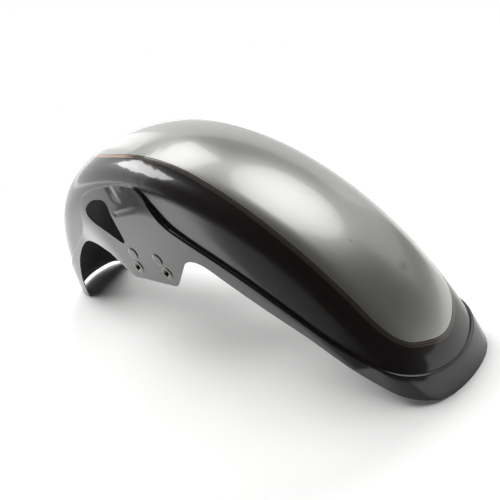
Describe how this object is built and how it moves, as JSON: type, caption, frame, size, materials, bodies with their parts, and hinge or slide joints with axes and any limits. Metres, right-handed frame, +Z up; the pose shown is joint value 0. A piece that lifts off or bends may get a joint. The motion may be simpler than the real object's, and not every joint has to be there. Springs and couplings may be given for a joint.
{
  "type": "motorcycle front mudguard",
  "caption": "Domed front mudguard of pressed steel with stepped flanks, teardrop cut-outs and bolted fork ears, arching over the wheel to throw spray clear of the rider.",
  "frame": {"origin": "on the floor plane, on the middle plane, straight below the top of the arch, 85 mm above the wheel axis", "axes": "+X toward the tail of the mudguard, -Y toward the near side in the picture, +Z up; the wheel axis runs along Y"},
  "size_m": [0.6872, 0.144, 0.265],
  "materials": {
    "painted_shell": "gloss",
    "collar_steel": "zinc plated"
  },
  "bodies": {
    "root": {"mudguard_shell": "painted_shell", "fork_collars": "collar_steel"}
  },
  "joints": []
}
